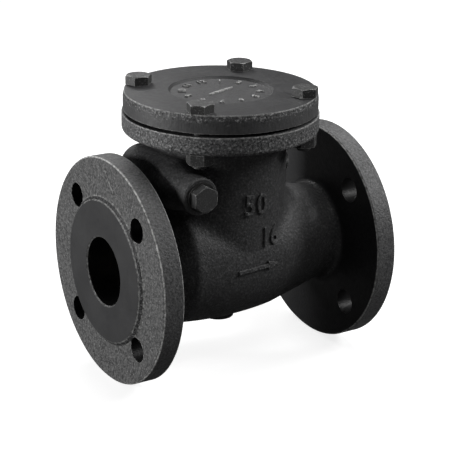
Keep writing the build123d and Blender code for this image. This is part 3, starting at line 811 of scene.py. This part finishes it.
@dataclass
class CoverLid:
    """Cover with its rough band, recess and number ring."""

    node: Piece
    gasket: Piece
    neck_x: float = 96.5 * MM
    top: float = 121.0 * MM
    band: float = 4.0 * MM
    rim_r: float = 69.0 * MM
    recess_r: float = 37.7 * MM
    band_wander: float = 2.2 * MM
    # Painted glints in the rough band.
    band_specks: float = 1.1
    top_zone: Zone = Zone(cast=0.08, thin=0.05)
    rim_zone: Zone = Zone(cast=0.22, thin=0.6)
    recess_zone: Zone = Zone(cast=0.3, thin=0.3)
    # Painted highlight on the raised numbers.
    number_zone: Zone = Zone(0.4, 0.8, 0.9)
    number_rubbed: float = 0.6
    crisp_rubbed: float = 0.5
    streak_wide: float = 1.1 * MM
    streak_long: float = 6.0
    streak_spread: float = 0.12
    numeral_count: int = 12
    numeral_high: float = 5.6 * MM
    numeral_narrow: float = 0.9
    numeral_bold: float = 0.2 * MM
    numeral_ring_r: float = 27.5 * MM
    laid_from: float = 5 * MM
    bar_round_r: float = 3.0 * MM
    bar_stretch: tuple[float, float] = (4.6, 0.42)
    bar_turn: float = math.radians(20)
    mark_proud: float = 1.1 * MM
    mark_voxel: float = 0.25 * MM
    finish: PaintedIron = field(default_factory=PaintedIron)

    def material(self) -> Material:
        """Dress the cover: turned top and lower rim, cast band and recess.

        Returns:
            The cover's material.
        """
        graph = Graph("painted_cover_iron")
        z = graph.along[Axis.Z]
        r = graph.radius(Axis.Z, (self.neck_x, 0.0))
        on_rim = graph.ramp(r, self.rim_r - 0.4 * MM, self.rim_r + 0.2 * MM)
        wander = graph.ramp(graph.noise(5 * MM, 3.0), 0.3, 0.7, -self.band_wander, self.band_wander)
        band_low = self.top - self.band
        in_band = graph.ramp(graph.math("ADD", z, wander), band_low - 2.6 * MM, band_low + 0.6 * MM)
        band = graph.times(on_rim, in_band)
        recess = graph.times(graph.ramp(r, self.recess_r - 0.5 * MM, self.recess_r, 1.0, 0.0),
                             graph.ramp(z, self.top - 0.5 * MM, self.top - 0.2 * MM, 1.0, 0.0))
        turned_cast = graph.ramp(on_rim, 0.0, 1.0, self.top_zone.cast, self.rim_zone.cast)
        cast = graph.strongest(band, graph.times(recess, self.recess_zone.cast), turned_cast)
        turned_thin = graph.ramp(on_rim, 0.0, 1.0, self.top_zone.thin, self.rim_zone.thin)
        thin = graph.strongest(turned_thin, graph.times(recess, self.recess_zone.thin))
        streaks = graph.ramp(graph.streaks(self.streak_wide, self.streak_long), 0.35, 0.65,
                             -self.streak_spread, self.streak_spread)
        turned = graph.times(on_rim, graph.math("SUBTRACT", 1.0, band))
        thin = graph.math("ADD", thin, graph.times(streaks, turned))
        # A light line along the rim's top edge: paint wear, partly painted highlight.
        crisp = graph.times(graph.between(z, self.top - 0.8 * MM, self.top - 0.05 * MM, 0.1 * MM), on_rim)
        return self.finish.material(graph, cast, graph.times(band, self.band_specks), thin,
                                    graph.times(crisp, self.crisp_rubbed))

    def number_ring(self) -> Piece:
        """Raise the ring of plain numbers, its 9 a 6 turned over, and the bar in the recess.

        Returns:
            The ring and the bar as one mesh.
        """
        made = []
        laid_z = self.top + self.laid_from
        for number in range(1, self.numeral_count + 1):
            turned_over = number == 9
            digits = "6" if turned_over else str(number)
            piece = Numeral(digits, self.numeral_high, self.numeral_narrow, self.numeral_bold).outline()
            turn = math.tau / 4 - math.tau * number / self.numeral_count
            piece.rotation_euler = (0.0, 0.0, turn + math.tau / (4 if turned_over else -4))
            piece.location = (self.neck_x + self.numeral_ring_r * math.cos(turn),
                              self.numeral_ring_r * math.sin(turn), laid_z)
            settle(piece)
            made.append(piece)
        made.append(self.bar(laid_z))
        ring = join(made, "cover_numbers")
        raise_on_surface(ring, self.node, Axis.Z, self.mark_proud, self.mark_voxel)
        return ring

    def bar(self, laid_z: float) -> Piece:
        """Return the flat long bar in the middle of the ring.

        Args:
            laid_z: height that it is laid from.

        Returns:
            The flat bar.
        """
        long, wide = self.bar_stretch
        deselect()
        bpy.ops.mesh.primitive_circle_add(vertices=24, radius=self.bar_round_r, fill_type="NGON",
                                          location=(self.neck_x, 0.0, laid_z))
        bar = bpy.context.object
        bpy.ops.object.mode_set(mode="EDIT")
        bpy.ops.mesh.select_all(action="SELECT")
        bpy.ops.transform.resize(value=(long, wide, 1.0), center_override=(self.neck_x, 0.0, self.top))
        bpy.ops.object.mode_set(mode="OBJECT")
        bar.rotation_euler = (0.0, 0.0, self.bar_turn)
        settle(bar)
        return bar

    def build(self) -> None:
        """Dress the cover and gasket and add the numbers."""
        dress(self.node, self.material())
        dress(self.gasket, Rubber("gasket_fibre").material())
        # Painted highlight: the raised numbers get lighter, rubbed paint than the cover so that they look
        # lit.
        zone = self.number_zone
        marks_highlight_paint = self.finish.material(Graph("numbers_painted_highlight"), zone.cast, zone.specks, zone.thin,
                                          self.number_rubbed)
        finish_piece(self.number_ring(), Body.HOUSING, marks_highlight_paint)


@dataclass
class CoverFasteners:
    """Cover bolts and nuts, with the thread that shows below each nut."""

    bolts: Piece
    nuts: Piece
    neck_x: float = 96.5 * MM
    bolt_circle_r: float = 61.0 * MM
    count: int = 4
    shank_r: float = 5.0 * MM
    pitch: float = 1.5 * MM
    thread_high: float = 83.9 * MM
    thread_low: float = 81.6 * MM
    thread_root: float = 0.25 * MM
    thread_crest: float = 0.28 * MM
    crest_half: float = 0.12 * MM
    root_half_share: float = 0.42
    steps_per_turn: int = 32

    def material(self) -> Material:
        """Paint the steel of bolts and nuts.

        Returns:
            Their material.
        """
        graph = Graph("painted_bolt_steel")
        # Light grey edges: paint wear, partly painted highlight.
        steel = PaintedIron(paint=(0.018, 0.018, 0.018, 1.0), thin_paint=(0.075, 0.075, 0.074, 1.0),
                            worn=(0.75, 0.75, 0.73, 1.0), grain=1.0 * MM, grain_deep=0.4 * MM,
                            smooth_roughness=0.40, cast_roughness=0.46, gloss=0.42)
        spots = graph.ramp(graph.noise(2.2 * MM, 4.0), 0.4, 0.65)
        return steel.material(graph, cast=graph.times(spots, 0.7), specks=spots, thin=0.35)

    def thread(self) -> Piece:
        """Make one stretch of thread round the axis, its low end on the ground.

        Returns:
            The thread's mesh.
        """
        deselect()
        half = self.pitch * self.root_half_share
        bpy.ops.mesh.primitive_plane_add(size=1.0)
        piece = bpy.context.object
        bpy.ops.object.mode_set(mode="EDIT")
        bpy.ops.mesh.select_all(action="SELECT")
        bpy.ops.mesh.delete(type="ONLY_FACE")
        bpy.ops.object.mode_set(mode="OBJECT")
        corners = [(-self.thread_root, -half), (self.thread_crest, -self.crest_half),
                   (-self.thread_root, half), (self.thread_crest, self.crest_half)]
        for corner, (out, up) in zip(piece.data.vertices, corners):
            corner.co = (self.shank_r + out, 0.0, half + up)
        turns = (self.thread_high - self.thread_low - 2 * half) / self.pitch
        steps = int(self.steps_per_turn * turns)
        apply_modifier(piece, "SCREW", axis="Z", angle=math.tau * turns, screw_offset=self.pitch * turns,
                       iterations=1, steps=steps, render_steps=steps, use_merge_vertices=False)
        select_only(piece)
        bpy.ops.object.mode_set(mode="EDIT")
        bpy.ops.mesh.select_mode(type="EDGE")
        bpy.ops.mesh.select_all(action="DESELECT")
        bpy.ops.mesh.select_non_manifold()
        bpy.ops.mesh.edge_face_add()
        bpy.ops.mesh.select_all(action="SELECT")
        bpy.ops.mesh.normals_make_consistent(inside=False)
        bpy.ops.object.mode_set(mode="OBJECT")
        return piece

    def threads(self) -> Piece:
        """Make the thread at each bolt's lower end.

        Returns:
            All threads as one mesh.
        """
        first = self.thread()
        made = []
        for number in range(self.count):
            turn = math.tau * (number + 0.5) / self.count
            piece = first.copy()
            piece.data = first.data.copy()
            bpy.context.scene.collection.objects.link(piece)
            piece.location = (self.neck_x + self.bolt_circle_r * math.cos(turn),
                              self.bolt_circle_r * math.sin(turn), self.thread_low)
            settle(piece)
            made.append(piece)
        bpy.data.objects.remove(first)
        return join(made, "bolt_threads")

    def build(self) -> None:
        """Dress bolts and nuts and add the threads."""
        material = self.material()
        dress(self.bolts, material)
        dress(self.nuts, material)
        finish_piece(self.threads(), Body.HOUSING, material)


@dataclass
class HingeParts:
    """Plug outside, and pin, bushes and spacers inside the hinge housing."""

    nodes: dict[str, Piece]
    pin_x: float = 46.0 * MM
    pin_z: float = 65.0 * MM

    def plug_material(self) -> Material:
        """Paint the plug, light on its chamfer: paint wear, partly painted highlight.

        Returns:
            The plug's material.
        """
        graph = Graph("painted_plug_steel")
        steel = PaintedIron(paint=(0.036, 0.036, 0.037, 1.0), thin_paint=(0.065, 0.065, 0.064, 1.0),
                            worn=(0.85, 0.85, 0.83, 1.0), grain=0.9 * MM, grain_deep=0.2 * MM,
                            smooth_roughness=0.42, cast_roughness=0.5, gloss=0.42)
        spots = graph.ramp(graph.noise(3 * MM, 3.0), 0.4, 0.65)
        return steel.material(graph, cast=graph.times(spots, 0.5), specks=graph.times(spots, 0.3), thin=0.3)

    def build(self) -> None:
        """Dress every part of the hinge."""
        middle = (self.pin_x, self.pin_z)
        steel = TurnedMetal("pin_steel", (0.52, 0.51, 0.49, 1.0), (0.36, 0.35, 0.33, 1.0), 0.28,
                            Axis.Y, middle)
        bronze = TurnedMetal("bush_bronze", (0.50, 0.32, 0.15, 1.0), (0.30, 0.19, 0.09, 1.0), 0.34,
                             Axis.Y, middle)
        pin = steel.material()
        bush = bronze.material()
        dress(self.nodes["hinge_plug"], self.plug_material())
        dress(self.nodes["plug_washer"], Rubber("washer_fibre").material())
        for name in ("hinge_pin", "arm_cross_pin", "arm_spacer_near", "arm_spacer_far"):
            dress(self.nodes[name], pin)
        for name in ("pin_bush_near", "pin_bush_far"):
            dress(self.nodes[name], bush)
        log.info("hinge: plug, washer, pin, bushes and spacers dressed")


@dataclass
class FlapParts:
    """Seat ring, arm and disc with what holds it."""

    nodes: dict[str, Piece]

    def arm_material(self) -> Material:
        """Make the arm's bare cast steel with thin rust.

        Returns:
            The arm's material.
        """
        graph = Graph("arm_cast_steel")
        iron = PaintedIron(paint=(0.075, 0.070, 0.066, 1.0), thin_paint=(0.12, 0.10, 0.085, 1.0),
                           worn=(0.30, 0.28, 0.26, 1.0), grain=1.0 * MM, grain_deep=0.2 * MM)
        return iron.material(graph, cast=0.7, specks=0.3, thin=0.5)

    def disc_material(self) -> Material:
        """Return the disc's painted iron, turned smooth."""
        return PaintedIron().material(Graph("disc_iron"), cast=0.15, specks=0.1, thin=0.5)

    def build(self) -> None:
        """Dress every part of the flap."""
        bronze = TurnedMetal("seat_bronze", (0.56, 0.37, 0.17, 1.0), (0.36, 0.23, 0.11, 1.0), 0.26)
        steel = TurnedMetal("stud_steel", (0.55, 0.54, 0.52, 1.0), (0.38, 0.37, 0.35, 1.0), 0.27)
        stainless = steel.material()
        dress(self.nodes["seat_ring"], bronze.material())
        dress(self.nodes["hinge_arm"], self.arm_material())
        dress(self.nodes["disc"], self.disc_material())
        dress(self.nodes["disc_facing"], Rubber("facing_rubber").material())
        for name in ("facing_retainer", "disc_stud", "disc_washer", "disc_nut", "disc_split_pin"):
            dress(self.nodes[name], stainless)
        log.info("flap: seat ring, arm and disc group dressed")


@dataclass
class Studio:
    """Floor, air, soft lamps and the camera at the photograph's angle."""

    floor_z: float
    target: tuple[float, float, float] = (100 * MM, 0.0, 30 * MM)
    azimuth: float = -32.22
    elevation: float = 19.83
    roll: float = 0.86
    distance: float = 1200 * MM
    aside: float = 1.28 * MM
    above: float = -11.89 * MM
    focal_px: float = 1636.25
    frame_px: int = 450
    sensor: float = 36.0
    lamp_distance: float = 1.25
    lamp_size: float = 0.4
    lamps: tuple[tuple[str, float, float, float], ...] = (
        ("left_softbox", 160, 8, 13.5),
        ("right_softbox", 330, 33, 8.0),
        ("top_softbox", 30, 62, 8.5),
        ("back_softbox", 80, 35, 5.4),
        ("high_front_softbox", 285, 60, 3.0),
    )
    soft_grey: Colour = (0.03, 0.03, 0.031, 1.0)
    white: Colour = (1.0, 1.0, 1.0, 1.0)
    floor_size: float = 12.0
    floor_grain: float = 0.6
    floor_greys: tuple[Colour, Colour] = ((0.12, 0.12, 0.12, 1.0), (0.14, 0.14, 0.14, 1.0))
    floor_glow: Colour = (0.80, 0.80, 0.80, 1.0)
    floor_lit: Colour = (0.5, 0.5, 0.5, 1.0)

    def camera(self) -> None:
        """Make the camera."""
        turn, rise, roll = (math.radians(angle) for angle in (self.azimuth, self.elevation, self.roll))
        back = Vector((math.sin(turn) * math.cos(rise), -math.cos(turn) * math.cos(rise), math.sin(rise)))
        level = (-back).cross(Vector((0.0, 0.0, 1.0))).normalized()
        upright = level.cross(-back)
        right = math.cos(roll) * level + math.sin(roll) * upright
        up = math.cos(roll) * upright - math.sin(roll) * level
        place = Vector(self.target) + back * self.distance + right * self.aside + up * self.above
        bpy.ops.object.camera_add()
        camera = bpy.context.object
        camera.matrix_world = Matrix((
            (right.x, up.x, back.x, place.x), (right.y, up.y, back.y, place.y),
            (right.z, up.z, back.z, place.z), (0.0, 0.0, 0.0, 1.0),
        ))
        camera.data.sensor_width = self.sensor
        camera.data.lens = self.focal_px * self.sensor / self.frame_px
        camera.data.clip_start = 0.05
        camera.data.clip_end = 60.0
        bpy.context.scene.camera = camera

    def lamp(self, name: str, turn: float, rise: float, watts: float) -> None:
        """Add a square soft lamp that faces the valve.

        Args:
            name: name of the lamp.
            turn: its direction from the valve, in degrees from +X towards +Y.
            rise: its height above the level, in degrees.
            watts: its power.
        """
        turn, rise = math.radians(turn), math.radians(rise)
        level = self.lamp_distance * math.cos(rise)
        place = Vector((level * math.cos(turn), level * math.sin(turn), self.lamp_distance * math.sin(rise)))
        bpy.ops.object.light_add(type="AREA", location=Vector(self.target) + place)
        lamp = bpy.context.object
        lamp.name = name
        lamp.data.shape = "SQUARE"
        lamp.data.size = self.lamp_size
        lamp.data.energy = watts
        lamp.rotation_mode = "QUATERNION"
        lamp.rotation_quaternion = (-place).to_track_quat("-Z", "Y")

    def world(self) -> None:
        """Make the air: white to the camera and through glass, soft grey as light and in reflections."""
        world = bpy.data.worlds.new("studio_air")
        bpy.context.scene.world = world
        world.use_nodes = True
        tree = world.node_tree
        tree.nodes.clear()
        path = tree.nodes.new("ShaderNodeLightPath")
        seen = tree.nodes.new("ShaderNodeMath")
        seen.operation = "MAXIMUM"
        tree.links.new(path.outputs["Is Camera Ray"], seen.inputs[0])
        tree.links.new(path.outputs["Is Transmission Ray"], seen.inputs[1])
        soft = tree.nodes.new("ShaderNodeBackground")
        soft.inputs["Color"].default_value = self.soft_grey
        soft.inputs["Strength"].default_value = 1.0
        white = tree.nodes.new("ShaderNodeBackground")
        white.inputs["Color"].default_value = self.white
        mix = tree.nodes.new("ShaderNodeMixShader")
        out = tree.nodes.new("ShaderNodeOutputWorld")
        tree.links.new(seen.outputs[0], mix.inputs[0])
        tree.links.new(soft.outputs[0], mix.inputs[1])
        tree.links.new(white.outputs[0], mix.inputs[2])
        tree.links.new(mix.outputs[0], out.inputs["Surface"])

    def floor(self) -> None:
        """Make the floor: near white to the camera and through glass, dark grey in reflections."""
        bpy.ops.mesh.primitive_plane_add(size=self.floor_size, location=(self.target[0], 0.0, self.floor_z))
        floor = bpy.context.object
        floor.name = "studio_floor"
        settle(floor)
        graph = Graph("pale_floor")
        path = graph.node("ShaderNodeLightPath")
        seen = graph.math("MAXIMUM", path.outputs["Is Camera Ray"], path.outputs["Is Transmission Ray"])
        grain = graph.ramp(graph.noise(self.floor_grain, 2.0), 0.3, 0.7)
        colour = graph.blend(grain, *self.floor_greys)
        matt = graph.node("ShaderNodeBsdfDiffuse", {"Color": colour})
        glow = graph.node("ShaderNodeEmission", {"Color": self.floor_glow, "Strength": 1.0})
        lit = graph.node("ShaderNodeBsdfDiffuse", {"Color": self.floor_lit})
        both = graph.node("ShaderNodeAddShader", {0: glow.outputs[0], 1: lit.outputs[0]})
        mix = graph.node("ShaderNodeMixShader", {0: seen, 1: matt.outputs[0], 2: both.outputs[0]})
        graph.node("ShaderNodeOutputMaterial", {"Surface": mix.outputs[0]})
        floor.data.materials.append(graph.material)
        floor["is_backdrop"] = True

    def build(self) -> None:
        """Make floor, air, lamps and camera."""
        self.floor()
        self.world()
        for name, turn, rise, watts in self.lamps:
            self.lamp(name, turn, rise, watts)
        self.camera()
        log.info("studio: floor, five lamps and camera")


def plain(bounds: tuple[Vector, Vector]) -> list[list[float]]:
    """Return a box's corners as plain lists."""
    return [list(corner) for corner in bounds]


def main() -> None:
    """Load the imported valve, dress it, add its details and the studio."""
    logging.basicConfig(level=logging.INFO, format="%(name)s: %(message)s")
    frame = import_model()
    cad_box = plain(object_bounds())
    deselect()
    nodes = frame["nodes"]
    Studio(floor_z=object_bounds()[0].z - 0.1 * MM).build()
    BodyCasting(nodes["valve_body"]).build()
    CoverLid(nodes["cover"], nodes["cover_gasket"]).build()
    CoverFasteners(nodes["cover_bolts"], nodes["cover_nuts"]).build()
    HingeParts(nodes).build()
    FlapParts(nodes).build()
    bpy.context.scene.view_settings.view_transform = "Standard"
    {"cad": cad_box, "visual": plain(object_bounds())}


if __name__ == "__main__":
    main()
